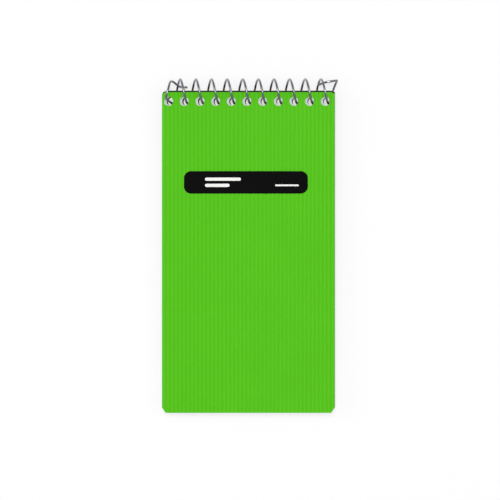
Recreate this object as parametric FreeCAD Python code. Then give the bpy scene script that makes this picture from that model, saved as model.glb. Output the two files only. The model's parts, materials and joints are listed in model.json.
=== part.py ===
import FreeCAD, Part

import math
import os

# A reporter's notebook: two ribbed plastic covers and a block of ruled sheets, punched along
# the short top edge and held by one spiral of steel wire whose two ends are bent inwards.
#
# Every piece is drawn in the notebook's own plane. The coil's axis is the X axis there, the
# sheets run from it towards -Y, and the front cover faces +Z. The last step tips the whole
# notebook down about that axis until the coil and the foot of the back cover meet the desk.
#
# An angle round the coil is counted from -Y (the middle of the stack) towards +Z (the front).

# Sheets and covers, seen from the front
COVER_WIDTH = 70.0
COVER_LENGTH = 130.0
FOOT_CHAMFER_X = 1.5
FOOT_CHAMFER_Y = 2.1
TOP_EASE_X = 1.6
TOP_EASE_Y = 0.6
SPINE_SETBACK = 0.4         # the sheets' top edge lies this far below the coil's axis
BACK_RISE = 0.9             # the back cover reaches this far above the other sheets

# Thickness of the stack
BLOCK_THICKNESS = 4.4
COVER_CLEARANCE = 0.1       # between the block and each cover
SHEET_THICKNESS = 0.4       # plastic sheet between its ribs
RIB_HEIGHT = 0.12
RIB_COUNT = 43
RIB_CREST_SHARE = 0.55      # part of the rib spacing that is flat crest
RIB_FOOT_SHARE = 0.20       # part of the rib spacing that is flat groove

# Punched holes
HOLE_COUNT = 11
HOLE_PITCH = 6.35
HOLE_DIAMETER = 3.7
HOLE_TO_EDGE = 3.75
FRONT_HOLE_SHIFT = -0.59    # the punch sits off centre on the cover blank
BACK_HOLE_SHIFT = 0.59      # the same blank turned over
BLOCK_HOLE_SHIFT = 0.41
BACK_SIDE_SET = 0.25        # the back cover lies a little to the right

# Wire
WIRE_DIAMETER = 0.88
COIL_RADIUS = 4.95          # to the middle of the wire
WIRE_IN_HOLE = 0.4          # the wire lies this far right of the block's hole centres
HELIX_FROM = -144.0         # where the right end leaves the helix
HELIX_LAST_TURN = 90.0      # where the left end leaves the helix
END_GAP = 0.2               # a bent-in end stays this far inside the next loop
WIRE_SIDES = 10             # facets round the wire
WIRE_RUNS_PER_TURN = 20     # straight runs in one turn of the helix
BEND_RUNS = 12              # straight runs in one bent-in end

# Black title field on the front cover
TITLE_LENGTH = 50.2
TITLE_HEIGHT = 9.1
TITLE_CORNER = 2.9
TITLE_THICKNESS = 0.08
TITLE_BELOW_EDGE = 36.6
TITLE_SIDE_SET = -1.0

# Worked out from the sizes above
WIRE_RADIUS = WIRE_DIAMETER / 2
SPINE_Y = -SPINE_SETBACK
HOLE_Y = SPINE_Y - HOLE_TO_EDGE
BLOCK_TOP = BLOCK_THICKNESS / 2
COVER_INNER = BLOCK_TOP + COVER_CLEARANCE
COVER_OUTER = COVER_INNER + SHEET_THICKNESS + RIB_HEIGHT
COIL_OUTER_RADIUS = COIL_RADIUS + WIRE_RADIUS
FIRST_HOLE = -HOLE_PITCH * (HOLE_COUNT - 1) / 2


def prism(points, vector):
    """A flat polygon carried along a vector."""
    loop = [FreeCAD.Vector(*point) for point in points]
    wire = Part.makePolygon(loop + [loop[0]])
    return Part.Face(wire).extrude(FreeCAD.Vector(*vector))


def sheet_outline(top_y, middle_x, low_z, high_z):
    """The trimmed outline that all sheets share, from low_z to high_z."""
    foot_y = SPINE_Y - COVER_LENGTH
    half = COVER_WIDTH / 2
    right_side = [
        (half - TOP_EASE_X, top_y),
        (half, top_y - TOP_EASE_Y),
        (half, foot_y + FOOT_CHAMFER_Y),
        (half - FOOT_CHAMFER_X, foot_y),
    ]
    left_side = [(-x, y) for x, y in reversed(right_side)]
    corners = [(x + middle_x, y, low_z) for x, y in right_side + left_side]
    return prism(corners, (0, 0, high_z - low_z))


def punched(sheet, hole_shift, low_z, high_z):
    """The row of round holes for the wire, cut through a sheet or the block."""
    depth = high_z - low_z + 2
    for index in range(HOLE_COUNT):
        x = FIRST_HOLE + index * HOLE_PITCH + hole_shift
        base = FreeCAD.Vector(x, HOLE_Y, low_z - 1)
        sheet = sheet.cut(Part.makeCylinder(HOLE_DIAMETER / 2, depth, base))
    return sheet


def ribbed_sheet(top_y, middle_x, hole_shift):
    """A plastic cover: flat inside, low flat-topped ribs from top to foot outside."""
    spacing = COVER_WIDTH / RIB_COUNT
    left = middle_x - COVER_WIDTH / 2
    flank = spacing * (1 - RIB_CREST_SHARE - RIB_FOOT_SHARE) / 2
    groove = spacing * RIB_FOOT_SHARE / 2
    crest_z = COVER_OUTER
    groove_z = COVER_OUTER - RIB_HEIGHT
    profile = [(left, COVER_INNER)]
    for index in range(RIB_COUNT):
        x = left + index * spacing
        profile.append((x, groove_z))
        profile.append((x + groove, groove_z))
        profile.append((x + groove + flank, crest_z))
        profile.append((x + spacing - groove - flank, crest_z))
        profile.append((x + spacing - groove, groove_z))
    profile.append((left + COVER_WIDTH, groove_z))
    profile.append((left + COVER_WIDTH, COVER_INNER))
    length = top_y - SPINE_Y + COVER_LENGTH
    section = [(x, top_y, z) for x, z in profile]
    sheet = prism(section, (0, -length, 0))
    sheet = sheet.common(sheet_outline(top_y, middle_x, COVER_INNER, COVER_OUTER))
    return punched(sheet, hole_shift, COVER_INNER, COVER_OUTER)


def front_cover():
    return ribbed_sheet(SPINE_Y, 0, FRONT_HOLE_SHIFT)


def back_cover():
    """Drawn like the front cover, then mirrored through the middle of the stack."""
    sheet = ribbed_sheet(SPINE_Y + BACK_RISE, BACK_SIDE_SET, BACK_SIDE_SET + BACK_HOLE_SHIFT)
    return sheet.mirror(FreeCAD.Vector(0, 0, 0), FreeCAD.Vector(0, 0, 1))


def page_block():
    """All the sheets of paper as one block, trimmed and punched with the covers."""
    block = sheet_outline(SPINE_Y, 0, -BLOCK_TOP, BLOCK_TOP)
    return punched(block, BLOCK_HOLE_SHIFT, -BLOCK_TOP, BLOCK_TOP)


def title_field():
    """The printed field with round corners that lies on the crests of the ribs."""
    low_x = TITLE_SIDE_SET - TITLE_LENGTH / 2
    low_y = SPINE_Y - TITLE_BELOW_EDGE - TITLE_HEIGHT / 2
    corner = FreeCAD.Vector(low_x, low_y, COVER_OUTER)
    field = Part.makeBox(TITLE_LENGTH, TITLE_HEIGHT, TITLE_THICKNESS, corner)
    upright = [edge for edge in field.Edges if abs(edge.tangentAt(edge.FirstParameter).z) > 0.9]
    return field.makeFillet(TITLE_CORNER, upright)


def helix_x(angle):
    """The wire moves to the left as it winds from the front over the top to the back."""
    last_hole = FIRST_HOLE + (HOLE_COUNT - 1) * HOLE_PITCH
    return last_hole + BLOCK_HOLE_SHIFT + WIRE_IN_HOLE - HOLE_PITCH * angle / 360


def round_coil(angle, radius, x):
    turn = math.radians(angle)
    return FreeCAD.Vector(x, -radius * math.cos(turn), radius * math.sin(turn))


def helix_tangent(angle):
    turn = math.radians(angle)
    rise = -HOLE_PITCH / (2 * math.pi)
    return FreeCAD.Vector(rise, COIL_RADIUS * math.sin(turn), COIL_RADIUS * math.cos(turn))


def helix_points(first, last):
    """Corners of the helix about the X axis, WIRE_RUNS_PER_TURN of them in each turn."""
    count = round((last - first) * WIRE_RUNS_PER_TURN / 360)
    angles = [first + (last - first) * k / count for k in range(count + 1)]
    return [round_coil(angle, COIL_RADIUS, helix_x(angle)) for angle in angles]


def bend_points(points, tangent_name, tangent):
    """A smooth bend through a few points that leaves the helix in its own direction."""
    curve = Part.BSplineCurve()
    curve.interpolate(points, **{tangent_name: tangent})
    return curve.toShape().discretize(Number=BEND_RUNS + 1)


def wire_section(centre, heading):
    """A many-sided section with the same area as the round wire."""
    step = 2 * math.pi / WIRE_SIDES
    corner_radius = WIRE_RADIUS * math.sqrt(step / math.sin(step))
    heading.normalize()
    across = heading.cross(FreeCAD.Vector(0, 0, 1)).normalize()
    upward = heading.cross(across)
    corners = []
    for side in range(WIRE_SIDES):
        sideways = across * (corner_radius * math.cos(side * step))
        corners.append(centre + sideways + upward * (corner_radius * math.sin(side * step)))
    return Part.makePolygon(corners + [corners[0]])


def wire_coil():
    """One spiral of wire: a helix through every hole, with both ends bent into it."""
    last = 360 * (HOLE_COUNT - 1) + HELIX_LAST_TURN
    inside = COIL_RADIUS - WIRE_DIAMETER - END_GAP
    right_x = helix_x(HELIX_FROM)
    left_x = helix_x(last)
    lap = HOLE_PITCH
    right_end = [
        round_coil(HELIX_FROM + 7, inside, right_x - 1.06 * lap),
        round_coil(HELIX_FROM - 3, inside + 0.15, right_x - 0.75 * lap),
        round_coil(HELIX_FROM - 13, inside + 0.55, right_x - 0.42 * lap),
        round_coil(HELIX_FROM - 17, COIL_RADIUS, right_x - 0.12 * lap),
        round_coil(HELIX_FROM - 12, COIL_RADIUS + 0.02, right_x + 0.01 * lap),
        round_coil(HELIX_FROM, COIL_RADIUS, right_x),
    ]
    left_end = [
        round_coil(last, COIL_RADIUS, left_x),
        round_coil(last + 30, COIL_RADIUS - 0.30, left_x - 0.03 * lap),
        round_coil(last + 60, COIL_RADIUS - 0.65, left_x + 0.00 * lap),
        round_coil(last + 88, COIL_RADIUS - 0.85, left_x + 0.09 * lap),
        round_coil(last + 115, inside + 0.08, left_x + 0.26 * lap),
        round_coil(last + 138, inside, left_x + 0.50 * lap),
        round_coil(last + 149, inside, left_x + 0.78 * lap),
        round_coil(last + 149, inside, left_x + 1.21 * lap),
    ]
    points = bend_points(right_end, "FinalTangent", helix_tangent(HELIX_FROM))
    points += helix_points(HELIX_FROM, last)[1:]
    points += bend_points(left_end, "InitialTangent", helix_tangent(last))[1:]
    section = wire_section(points[0], points[1] - points[0])
    mitred_corners = 1
    return Part.makePolygon(points).makePipeShell([section], True, False, mitred_corners)


def on_the_desk(shape):
    """Tips the notebook about the coil's axis until the foot of the back cover comes down."""
    foot_y = COVER_LENGTH - SPINE_Y
    reach = math.hypot(foot_y, COVER_OUTER)
    tilt = math.asin(COIL_OUTER_RADIUS / reach) - math.atan2(COVER_OUTER, foot_y)
    placed = shape.copy()
    placed.rotate(FreeCAD.Vector(0, 0, 0), FreeCAD.Vector(1, 0, 0), math.degrees(tilt))
    placed.translate(FreeCAD.Vector(0, 0, COIL_OUTER_RADIUS))
    return placed


PIECES = {
    "front_cover": front_cover,
    "title_field": title_field,
    "page_block": page_block,
    "back_cover": back_cover,
    "wire_coil": wire_coil,
}

os.makedirs("parts", exist_ok=True)
for name, make in PIECES.items():
    on_the_desk(make()).exportStep(os.path.join("parts", name + ".step"))
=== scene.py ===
import json
import math

import bpy
import numpy as np
from mathutils import Matrix, Vector


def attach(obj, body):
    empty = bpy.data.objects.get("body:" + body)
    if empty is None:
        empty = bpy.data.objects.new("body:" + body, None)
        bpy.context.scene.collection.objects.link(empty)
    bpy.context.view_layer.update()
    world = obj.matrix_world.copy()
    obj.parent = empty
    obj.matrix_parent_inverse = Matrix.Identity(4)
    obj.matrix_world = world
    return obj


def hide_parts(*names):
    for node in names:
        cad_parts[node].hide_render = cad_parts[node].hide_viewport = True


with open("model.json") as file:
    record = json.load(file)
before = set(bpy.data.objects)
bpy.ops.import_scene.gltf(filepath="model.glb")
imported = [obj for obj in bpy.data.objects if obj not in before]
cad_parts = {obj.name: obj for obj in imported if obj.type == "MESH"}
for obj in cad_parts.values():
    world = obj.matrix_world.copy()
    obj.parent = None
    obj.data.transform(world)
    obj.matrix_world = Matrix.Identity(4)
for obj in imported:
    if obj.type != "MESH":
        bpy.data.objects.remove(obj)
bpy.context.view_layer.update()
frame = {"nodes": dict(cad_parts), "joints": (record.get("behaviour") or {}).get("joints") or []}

# Front cover: one sheet of green polypropylene, extruded with fine ribs on its face, punched
# with a row of round holes and trimmed. It lies loose on the wire, on top of the pages.

MM = 0.001
COVER_LENGTH = 130 * MM
SPINE_SETBACK = 0.4 * MM
BLOCK_HALF = 2.2 * MM
COVER_CLEARANCE = 0.1 * MM
SHEET_THICKNESS = 0.4 * MM
RIB_HEIGHT = 0.12 * MM
GROOVE_DEPTH = BLOCK_HALF + COVER_CLEARANCE + SHEET_THICKNESS
STACK_HALF = GROOVE_DEPTH + RIB_HEIGHT
FOOT_REACH = SPINE_SETBACK + COVER_LENGTH

# Everything is drawn on a level notebook: X is the coil's axis, Y goes away from the covers and
# Z starts at the middle of the stack. ON_DESK then tilts it about the axis, so that it rests on
# the coil and on the foot of the back cover.
HINGE = Vector(frame["joints"][0]["pos_m"])
TILT = math.asin(HINGE.z / math.hypot(FOOT_REACH, STACK_HALF)) - math.atan2(STACK_HALF, FOOT_REACH)
ON_DESK = Matrix.Translation(HINGE) @ Matrix.Rotation(TILT, 4, "X")

# Extruded polypropylene has a soft satin shine and one even colour. The ribs' light and shade
# is painted in: a crest is coloured a little lighter and a groove a little darker. The grain of
# the roller that cooled it is drawn about ten times too coarse, so that it shows.
GREEN_LIT_CREST = "#5AC61A"
GREEN_SHADED_GROOVE = "#53BD16"
GREEN_GLOSS = 0.06
POLYPROPYLENE_IOR = 1.49
SATIN_ROUGHNESS = 0.5
CLOUD_SIZE = 18 * MM
ROLLER_GRAIN = 0.35 * MM
GRAIN_HEIGHT = 0.02 * MM
GRAIN_STRENGTH = 0.25

# The colour sockets of a Mix node go by number: two that come in and the one that goes out.
COLOUR_A, COLOUR_B, COLOUR_MIXED = 6, 7, 2


def linear(hex_colour):
    """An sRGB hex colour as linear RGBA: a dark part is divided by 12.92, and any other has
    0.055 added, is divided by 1.055 and raised to the power of 2.4."""
    parts = np.array([int(hex_colour[i:i + 2], 16) / 255 for i in (1, 3, 5)])
    dark = parts / 12.92
    light = ((parts + 0.055) / 1.055) ** 2.4
    return (*np.where(parts <= 0.04045, dark, light).tolist(), 1.0)


def add_node(tree, kind, links=None, values=None, **settings):
    """One shader node with its settings. Links and values go by socket name or number."""
    node = tree.nodes.new(kind)
    for name, setting in settings.items():
        setattr(node, name, setting)
    for socket, value in (values or {}).items():
        node.inputs[socket].default_value = value
    for socket, source in (links or {}).items():
        tree.links.new(source, node.inputs[socket])
    return node


def new_material(name, values):
    """A material with one Principled surface that has these values: (material, tree, surface)."""
    material = bpy.data.materials.new(name)
    material.use_nodes = True
    tree = material.node_tree
    tree.nodes.clear()
    surface = add_node(tree, "ShaderNodeBsdfPrincipled", values=values)
    add_node(tree, "ShaderNodeOutputMaterial", {"Surface": surface.outputs["BSDF"]})
    return material, tree, surface


def dress(thing, material):
    """The thing wears this material alone."""
    thing.data.materials.clear()
    thing.data.materials.append(material)


def notebook_place(tree):
    """Where a point lies on the level notebook: its place, its Y alone, and its distance from the
    middle of the stack. It is the object's own place with the tilt on the desk taken off."""
    place = add_node(tree, "ShaderNodeTexCoord").outputs["Object"]
    level = add_node(
        tree, "ShaderNodeMapping", {"Vector": place}, {"Location": HINGE, "Rotation": (TILT, 0, 0)},
        vector_type="TEXTURE",
    ).outputs["Vector"]
    split = add_node(tree, "ShaderNodeSeparateXYZ", {"Vector": level})
    depth = add_node(tree, "ShaderNodeMath", {0: split.outputs["Z"]}, operation="ABSOLUTE")
    return level, split.outputs["Y"], depth.outputs[0]


def ribbed_polypropylene(name, lit_crest_colour, shaded_groove_colour, gloss):
    """Plastic coloured right through, with painted light and shade on its ribs. Its colour goes
    from the shaded groove's to the lit crest's by the height on the rib times a slow noise, and a
    fine noise is the bump of the roller's grain."""
    material, tree, surface = new_material(
        name, {"Roughness": SATIN_ROUGHNESS, "IOR": POLYPROPYLENE_IOR, "Specular IOR Level": gloss}
    )
    place, _, depth = notebook_place(tree)
    rib = add_node(
        tree, "ShaderNodeMapRange", {"Value": depth}, {"From Min": GROOVE_DEPTH, "From Max": STACK_HALF}
    )
    cloud = add_node(tree, "ShaderNodeTexNoise", {"Vector": place}, {"Scale": 1 / CLOUD_SIZE})
    share = add_node(
        tree, "ShaderNodeMath", {0: rib.outputs["Result"], 1: cloud.outputs["Fac"]}, operation="MULTIPLY"
    )
    # Painted shade on the ribs: the groove gets the darker colour, the crest the lighter one.
    shade = add_node(
        tree, "ShaderNodeMix", {"Factor": share.outputs[0]},
        {COLOUR_A: linear(shaded_groove_colour), COLOUR_B: linear(lit_crest_colour)}, data_type="RGBA",
    )
    grain = add_node(tree, "ShaderNodeTexNoise", {"Vector": place}, {"Scale": 1 / ROLLER_GRAIN})
    bump = add_node(
        tree, "ShaderNodeBump", {"Height": grain.outputs["Fac"]},
        {"Strength": GRAIN_STRENGTH, "Distance": GRAIN_HEIGHT},
    )
    tree.links.new(shade.outputs[COLOUR_MIXED], surface.inputs["Base Color"])
    tree.links.new(bump.outputs["Normal"], surface.inputs["Normal"])
    return material


green_plastic = ribbed_polypropylene("green_polypropylene", GREEN_LIT_CREST, GREEN_SHADED_GROOVE, GREEN_GLOSS)
dress(frame["nodes"]["front_cover"], green_plastic)


# Back cover: the same ribbed polypropylene sheet in black, turned over and a little longer at
# the coil, with the same painted light and shade on its ribs. Black gives little light back, so
# its shine shows more than its colour.

# Painted light and shade of the ribs: a lighter black on the crests, a darker one in the grooves.
BLACK_LIT_CREST = "#131314"
BLACK_SHADED_GROOVE = "#0C0C0D"
BLACK_GLOSS = 0.15

black_plastic = ribbed_polypropylene("black_polypropylene", BLACK_LIT_CREST, BLACK_SHADED_GROOVE, BLACK_GLOSS)
dress(frame["nodes"]["back_cover"], black_plastic)


# Title field: a block of black screen ink with round corners, printed across the ribs, and three
# plain white rules printed over it. The ink is thin, flat and matt.

INK_BLACK = "#040405"
INK_WHITE = "#F1F1EE"
BLACK_INK_ROUGHNESS = 0.3
WHITE_INK_ROUGHNESS = 0.5
INK_GLOSS = 0.01
MESH_MARK = 0.4 * MM
MARK_DARKEST = 0.85
MARK_PALEST = 1.15
FIELD_THICKNESS = 0.08 * MM
WHITE_THICKNESS = 0.015 * MM
RULE_END_POINTS = 8

# Each rule: the X and Y of its middle, its length and its height.
RULES = (
    (-10.3 * MM, -35.7 * MM, 14.6 * MM, 1.3 * MM),
    (-12.6 * MM, -38.2 * MM, 10.0 * MM, 1.3 * MM),
    (15.6 * MM, -38.2 * MM, 9.6 * MM, 0.7 * MM),
)


def screen_ink(name, colour, roughness):
    """Cured screen ink: a flat colour times a weak noise, for the pinholes and the marks of the
    printing mesh. The marks are drawn a few times too coarse, so that they show."""
    material, tree, surface = new_material(
        name, {"Roughness": roughness, "Specular IOR Level": INK_GLOSS}
    )
    place = add_node(tree, "ShaderNodeTexCoord").outputs["Object"]
    marks = add_node(
        tree, "ShaderNodeTexNoise", {"Vector": place}, {"Scale": 1 / MESH_MARK, "Detail": 3.0}
    )
    shades = add_node(
        tree, "ShaderNodeMapRange", {"Value": marks.outputs["Fac"]},
        {"To Min": MARK_DARKEST, "To Max": MARK_PALEST},
    )
    ink = add_node(
        tree, "ShaderNodeMix", {COLOUR_B: shades.outputs["Result"]},
        {"Factor": 1.0, COLOUR_A: linear(colour)}, data_type="RGBA", blend_type="MULTIPLY",
    )
    tree.links.new(ink.outputs[COLOUR_MIXED], surface.inputs["Base Color"])
    return material


def into_scene(name, data):
    """An object with this data at the origin of the scene."""
    thing = bpy.data.objects.new(name, data)
    bpy.context.scene.collection.objects.link(thing)
    return thing


def mesh_piece(name, points, faces, body, slot, smooth):
    """A mesh drawn on the level notebook, set down on the desk and joined to its body."""
    placed = points @ np.array(ON_DESK.to_3x3()).T + np.array(ON_DESK.translation)
    mesh = bpy.data.meshes.new(name)
    mesh.from_pydata(placed.tolist(), [], faces)
    mesh.validate()
    mesh.polygons.foreach_set("use_smooth", np.full(len(mesh.polygons), smooth))
    piece = into_scene(name, mesh)
    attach(piece, body)
    return piece


def round_ended_rules(rules):
    """Each rule is a flat plate on the field. Its outline is a half circle at each end, joined by
    straight sides: the left half is the right half turned about the middle."""
    points, faces = [], []
    field_top = STACK_HALF + FIELD_THICKNESS
    turn = np.linspace(-math.pi / 2, math.pi / 2, RULE_END_POINTS)
    for x, y, length, height in rules:
        radius = height / 2
        side = length / 2 - radius
        right = np.stack([side + radius * np.cos(turn), radius * np.sin(turn)], axis=1)
        outline = np.concatenate([right, -right]) + (x, y)
        count = len(outline)
        start = sum(len(layer) for layer in points)
        for level in (field_top, field_top + WHITE_THICKNESS):
            points.append(np.column_stack([outline, np.full(count, level)]))
        ring = np.arange(count)
        beside = np.roll(ring, -1)
        faces += (start + np.stack([ring, beside, beside + count, ring + count], axis=1)).tolist()
        faces.append((start + count + ring).tolist())
        faces.append((start + ring[::-1]).tolist())
    return np.concatenate(points), faces


dress(frame["nodes"]["title_field"], screen_ink("black_screen_ink", INK_BLACK, BLACK_INK_ROUGHNESS))
white_rules = mesh_piece(
    "white_rules", *round_ended_rules(RULES), body="front_cover", slot="paper", smooth=False
)
dress(white_rules, screen_ink("white_screen_ink", INK_WHITE, WHITE_INK_ROUGHNESS))


# Page block: about forty ruled sheets of off-white paper, cut and punched together and held by
# the wire alone.

# Uncoated paper is matt. On the cut sides the sheets' edges show as pale and dark lines, drawn
# twice as coarse as the real sheets so that they show. Both faces have faint printed rules.
# The paper colour is partly its own off-white and partly painted shade: it is drawn greyer all over to
# stand in for the shadow inside the holes.
PAPER_GREYED_FOR_SHADE = "#D8DADA"
PAPER_EDGE = "#A3A39F"
RULE_INK = "#AEBBCB"
PAPER_ROUGHNESS = 0.85
SHEET_LINE = 0.2 * MM
LINE_RUN = 125 * MM
EDGE_DARKEST = 0.38
EDGE_PALEST = 0.58
EDGE_HEIGHT = 0.05 * MM
EDGE_STRENGTH = 0.5
RULE_SPACING = 7 * MM
RULE_WIDTH = 0.25 * MM
FACE_DEPTH = 0.01 * MM


def cut_paper():
    """Paper: on the cut sides a noise that changes with each sheet through the stack and slowly
    along it, and on the faces a printed line wherever Y is just past a whole spacing."""
    material, tree, surface = new_material("cut_paper", {"Roughness": PAPER_ROUGHNESS})
    place, along, depth = notebook_place(tree)
    stretched = add_node(
        tree, "ShaderNodeMapping", {"Vector": place},
        {"Scale": (1 / LINE_RUN, 1 / LINE_RUN, 1 / SHEET_LINE)},
    )
    lines = add_node(
        tree, "ShaderNodeTexNoise", {"Vector": stretched.outputs["Vector"]}, {"Scale": 1.0}
    )
    edge = add_node(
        tree, "ShaderNodeMapRange", {"Value": lines.outputs["Fac"]},
        {"From Min": EDGE_DARKEST, "From Max": EDGE_PALEST},
    )
    side = add_node(
        tree, "ShaderNodeMix", {"Factor": edge.outputs["Result"]},
        {COLOUR_A: linear(PAPER_EDGE), COLOUR_B: linear(PAPER_GREYED_FOR_SHADE)}, data_type="RGBA",
    )
    row = add_node(tree, "ShaderNodeMath", {0: along}, {1: RULE_SPACING}, operation="DIVIDE")
    part = add_node(tree, "ShaderNodeMath", {0: row.outputs[0]}, operation="FRACT")
    ruled = add_node(
        tree, "ShaderNodeMath", {0: part.outputs[0]}, {1: RULE_WIDTH / RULE_SPACING}, operation="LESS_THAN"
    )
    face = add_node(
        tree, "ShaderNodeMix", {"Factor": ruled.outputs[0]},
        {COLOUR_A: linear(PAPER_GREYED_FOR_SHADE), COLOUR_B: linear(RULE_INK)}, data_type="RGBA",
    )
    outermost = add_node(
        tree, "ShaderNodeMath", {0: depth}, {1: BLOCK_HALF - FACE_DEPTH}, operation="GREATER_THAN"
    )
    whole = add_node(
        tree, "ShaderNodeMix",
        {
            "Factor": outermost.outputs[0],
            COLOUR_A: side.outputs[COLOUR_MIXED],
            COLOUR_B: face.outputs[COLOUR_MIXED],
        },
        data_type="RGBA",
    )
    bump = add_node(
        tree, "ShaderNodeBump", {"Height": lines.outputs["Fac"]},
        {"Strength": EDGE_STRENGTH, "Distance": EDGE_HEIGHT},
    )
    tree.links.new(whole.outputs[COLOUR_MIXED], surface.inputs["Base Color"])
    tree.links.new(bump.outputs["Normal"], surface.inputs["Normal"])
    return material


dress(frame["nodes"]["page_block"], cut_paper())


# Wire coil: one length of bright drawn steel wire, wound into an open spiral, screwed through
# the holes and bent inwards at both ends so that it can't work out again.

WIRE_RADIUS = 0.44 * MM
COIL_RADIUS = 4.95 * MM
PITCH = 6.35 * MM
HOLE_COUNT = 11
PAGE_HOLE_SHIFT = 0.41 * MM
WIRE_IN_HOLE = 0.4 * MM
CORNER_CUTS = 2
CUT_SHARE = 0.25
WIRE_SIDES = 20
TIP_BEVEL = 0.3

# Degrees round the coil: 0 is in the hole at the right, and each hole to the left is 360 on.
HELIX_FROM = -60
HELIX_TO = 360 * (HOLE_COUNT - 1) + 20
TURN_STEP = 10

# Bright drawn steel is smooth and mirrors its surroundings, with a little more shine in some
# stretches than in others. Its colour is drawn darker than bright steel's, which paints shade
# into all that it mirrors. The marks of the drawing die are drawn coarse enough to show.
SHADE_DARKENED_STEEL = "#8E8F96"
SHINE_STRETCH = 3 * MM
SMOOTHEST_STEEL = 0.1
ROUGHEST_STEEL = 0.22
DIE_MARK = 0.06 * MM
MARK_HEIGHT = 0.01 * MM
MARK_STRENGTH = 0.15

# Each bend goes through these points: (degrees round the coil, mm from its axis, X in mm). The
# left one has to stay outside the arc that the front cover's edge sweeps.
RIGHT_BEND = np.array([
    (-137, 3.80, 28.35), (-148, 3.86, 29.60), (-162, 3.95, 31.00), (-166, 4.25, 33.00),
    (-164, 4.62, 35.20), (-162, 4.84, 36.02), (-154, 4.93, 36.06), (-144, 4.95, 35.88),
    (-128, 4.95, 35.45), (-110, 4.95, 34.90), (-92, 4.95, 34.38), (-76, 4.95, 33.98),
])
LEFT_BEND = np.array([
    (3632, 4.95, -32.10), (3640, 4.95, -32.62), (3649, 4.95, -33.20), (3660, 4.95, -33.42),
    (3672, 4.95, -33.20), (3686, 4.92, -32.75), (3700, 4.80, -32.40), (3724, 4.55, -32.05),
    (3750, 4.40, -31.75), (3765, 4.26, -31.30), (3782, 3.98, -30.60), (3805, 3.55, -29.55),
    (3828, 3.45, -28.40), (3839, 3.60, -27.00), (3839, 3.70, -24.95),
])


def round_coil(angle, radius, x):
    """A point on a circle about the coil's axis, by the angle's cosine and sine: 0 degrees points
    to the foot of the covers and 90 degrees up."""
    turn = np.radians(angle)
    return np.stack(np.broadcast_arrays(x, -radius * np.cos(turn), radius * np.sin(turn)), axis=-1)


def coil_path():
    """The right bend, the helix and the left bend in one row. On the helix X falls by one pitch a
    turn. Each corner is cut off at a quarter of the straights beside it, and the new corners once
    more, which comes close to a smooth curve."""
    angles = np.arange(HELIX_FROM, HELIX_TO + TURN_STEP, TURN_STEP)
    last_hole_x = PITCH * (HOLE_COUNT - 1) / 2 + PAGE_HOLE_SHIFT + WIRE_IN_HOLE
    helix = round_coil(angles, COIL_RADIUS, last_hole_x - PITCH * angles / 360)
    right = round_coil(RIGHT_BEND[:, 0], RIGHT_BEND[:, 1] * MM, RIGHT_BEND[:, 2] * MM)
    left = round_coil(LEFT_BEND[:, 0], LEFT_BEND[:, 1] * MM, LEFT_BEND[:, 2] * MM)
    path = np.concatenate([right, helix, left])
    for _ in range(CORNER_CUTS):
        near = (1 - CUT_SHARE) * path[:-1] + CUT_SHARE * path[1:]
        far = CUT_SHARE * path[:-1] + (1 - CUT_SHARE) * path[1:]
        cut = np.stack([near, far], axis=1).reshape(-1, 3)
        path = np.concatenate([path[:1], cut[1:-1], path[-1:]])
    return path


def round_wire(path, radius, sides):
    """A circle carried along the path, square to it. Its zero direction points away from the
    coil's axis, so it never turns over. The ends close with a smaller ring and a flat tip."""
    heading = np.gradient(path, axis=0)
    heading /= np.linalg.norm(heading, axis=1, keepdims=True)
    outward = path * (0, 1, 1)
    outward -= heading * (outward * heading).sum(axis=1, keepdims=True)
    outward /= np.linalg.norm(outward, axis=1, keepdims=True)
    aside = np.cross(heading, outward)
    turn = np.linspace(0, 2 * math.pi, sides, endpoint=False)[None, :, None]
    ring = np.cos(turn) * outward[:, None] + np.sin(turn) * aside[:, None]
    bevel = TIP_BEVEL * radius
    first = path[0] - heading[0] * bevel + (radius - bevel) * ring[0]
    last = path[-1] + heading[-1] * bevel + (radius - bevel) * ring[-1]
    rings = np.concatenate([first[None], path[:, None] + radius * ring, last[None]])
    rows, count = rings.shape[:2]
    index = np.arange(rows * count).reshape(rows, count)
    beside = np.roll(index, -1, axis=1)
    quads = np.stack([index[:-1], beside[:-1], beside[1:], index[1:]], axis=-1)
    faces = quads.reshape(-1, 4).tolist()
    faces.append(index[0, ::-1].tolist())
    faces.append(index[-1].tolist())
    return rings.reshape(-1, 3), faces


def drawn_steel():
    """Bright steel: a slow noise sets the roughness of each stretch, and a fine noise is the bump
    of the die's marks."""
    # Painted shade: the steel colour is darker than the metal's own, so all it mirrors comes out darker.
    material, tree, surface = new_material("drawn_steel", {"Base Color": linear(SHADE_DARKENED_STEEL), "Metallic": 1.0})
    place = add_node(tree, "ShaderNodeTexCoord").outputs["Object"]
    stretches = add_node(
        tree, "ShaderNodeTexNoise", {"Vector": place}, {"Scale": 1 / SHINE_STRETCH, "Detail": 3.0}
    )
    roughness = add_node(
        tree, "ShaderNodeMapRange", {"Value": stretches.outputs["Fac"]},
        {"To Min": SMOOTHEST_STEEL, "To Max": ROUGHEST_STEEL},
    )
    marks = add_node(
        tree, "ShaderNodeTexNoise", {"Vector": place}, {"Scale": 1 / DIE_MARK, "Detail": 1.0}
    )
    bump = add_node(
        tree, "ShaderNodeBump", {"Height": marks.outputs["Fac"]},
        {"Strength": MARK_STRENGTH, "Distance": MARK_HEIGHT},
    )
    tree.links.new(roughness.outputs["Result"], surface.inputs["Roughness"])
    tree.links.new(bump.outputs["Normal"], surface.inputs["Normal"])
    return material


wire = mesh_piece(
    "steel_wire", *round_wire(coil_path(), WIRE_RADIUS, WIRE_SIDES),
    body="binding", slot="steel_wire", smooth=True,
)
dress(wire, drawn_steel())
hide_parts("wire_coil")


# The place: a plain pale floor under the notebook, an even soft light from all round, a long
# lamp overhead, a weak one at each side, and the camera straight over the front cover.

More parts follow.
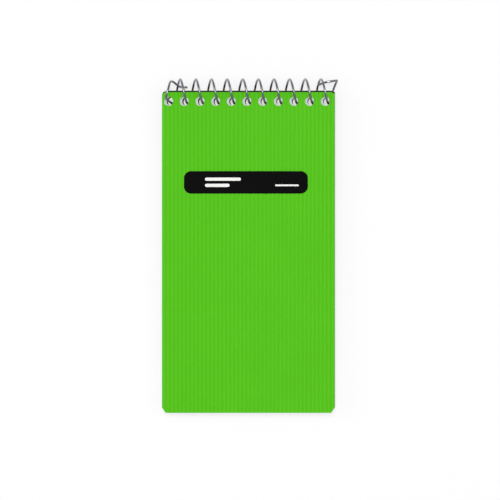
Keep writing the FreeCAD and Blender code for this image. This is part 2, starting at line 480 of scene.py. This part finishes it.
FLOOR = "#FBFBFB"
FLOOR_ROUGHNESS = 0.9
FLOOR_GLOSS = 0.1
FLOOR_REACH = 3.0
FLOOR_GLOW = 0.6
WHITE = (1.0, 1.0, 1.0, 1.0)
SKY_LOW = 0.45
SKY_HIGH = 0.52
NOTEBOOK_MIDDLE = Vector((0, -65 * MM, 0))

floor_corners = np.array([(-1, -1, 0), (1, -1, 0), (1, 1, 0), (-1, 1, 0)]) * FLOOR_REACH
floor_mesh = bpy.data.meshes.new("floor")
floor_mesh.from_pydata(floor_corners.tolist(), [], [(0, 1, 2, 3)])
floor = into_scene("floor", floor_mesh)

# Matt white board. Seen by the camera, or in the wire, it is part light of its own, so that the
# notebook's shadow on it is faint.
white_board, floor_tree, floor_surface = new_material(
    "white_board",
    {"Base Color": linear(FLOOR), "Roughness": FLOOR_ROUGHNESS, "Specular IOR Level": FLOOR_GLOSS},
)
rays = add_node(floor_tree, "ShaderNodeLightPath").outputs
seen = rays["Is Camera Ray"]
for other in ("Is Glossy Ray", "Is Transmission Ray"):
    either = add_node(
        floor_tree, "ShaderNodeMath", {0: seen, 1: rays[other]}, operation="ADD", use_clamp=True
    )
    seen = either.outputs[0]
glow_share = add_node(floor_tree, "ShaderNodeMath", {0: seen}, {1: FLOOR_GLOW}, operation="MULTIPLY")
glow = add_node(floor_tree, "ShaderNodeEmission", values={"Color": WHITE, "Strength": 1.0})
lit_floor = add_node(
    floor_tree, "ShaderNodeMixShader",
    {0: glow_share.outputs[0], 1: floor_surface.outputs["BSDF"], 2: glow.outputs["Emission"]},
)
floor_output = floor_tree.nodes["Material Output"]
floor_tree.links.new(lit_floor.outputs["Shader"], floor_output.inputs["Surface"])
dress(floor, white_board)

# The light from all round is a little weaker towards the horizon, as in a room.
world = bpy.data.worlds.new("studio")
bpy.context.scene.world = world
world.use_nodes = True
sky_tree = world.node_tree
sky_tree.nodes.clear()
direction = add_node(sky_tree, "ShaderNodeTexCoord").outputs["Generated"]
split = add_node(sky_tree, "ShaderNodeSeparateXYZ", {"Vector": direction})
strength = add_node(
    sky_tree, "ShaderNodeMapRange", {"Value": split.outputs["Z"]}, {"To Min": SKY_LOW, "To Max": SKY_HIGH}
)
sky = add_node(
    sky_tree, "ShaderNodeBackground", {"Strength": strength.outputs["Result"]}, {"Color": WHITE}
)
add_node(sky_tree, "ShaderNodeOutputWorld", {"Surface": sky.outputs["Background"]})


def lamp(name, place, width, length, watts):
    """An oblong lamp that faces the middle of the notebook, its length along the notebook's."""
    light = bpy.data.lights.new(name, "AREA")
    light.shape = "RECTANGLE"
    light.size = width
    light.size_y = length
    light.energy = watts
    holder = into_scene(name, light)
    holder.location = place
    holder.rotation_euler = (NOTEBOOK_MIDDLE - Vector(place)).to_track_quat("-Z", "Y").to_euler()


lamp("overhead_strip", place=(-0.03, 0.1, 1.7), width=0.22, length=1.1, watts=13.3)
lamp("left_lamp", place=(-0.8, 0.1, 0.5), width=0.4, length=0.4, watts=1.1)
lamp("right_lamp", place=(0.8, -0.1, 0.9), width=0.6, length=0.6, watts=1.2)

# The picture shows IMAGE_WIDTH_ON_COVER from side to side, and its middle is over the place
# CAMERA_OVER, in X and Y of the level notebook.
CAMERA_DISTANCE = 1.0
IMAGE_WIDTH_ON_COVER = 202.6 * MM
CAMERA_OVER = (0.65 * MM, -64.4 * MM)
SENSOR_WIDTH = 36.0
camera_data = bpy.data.cameras.new("camera")
camera_data.sensor_width = SENSOR_WIDTH
camera_data.lens = SENSOR_WIDTH * CAMERA_DISTANCE / IMAGE_WIDTH_ON_COVER
camera_data.clip_start = 10 * MM
camera = into_scene("camera", camera_data)
camera.matrix_world = ON_DESK @ Matrix.Translation((*CAMERA_OVER, STACK_HALF + CAMERA_DISTANCE))
bpy.context.scene.camera = camera
bpy.context.scene.view_settings.view_transform = "Standard"
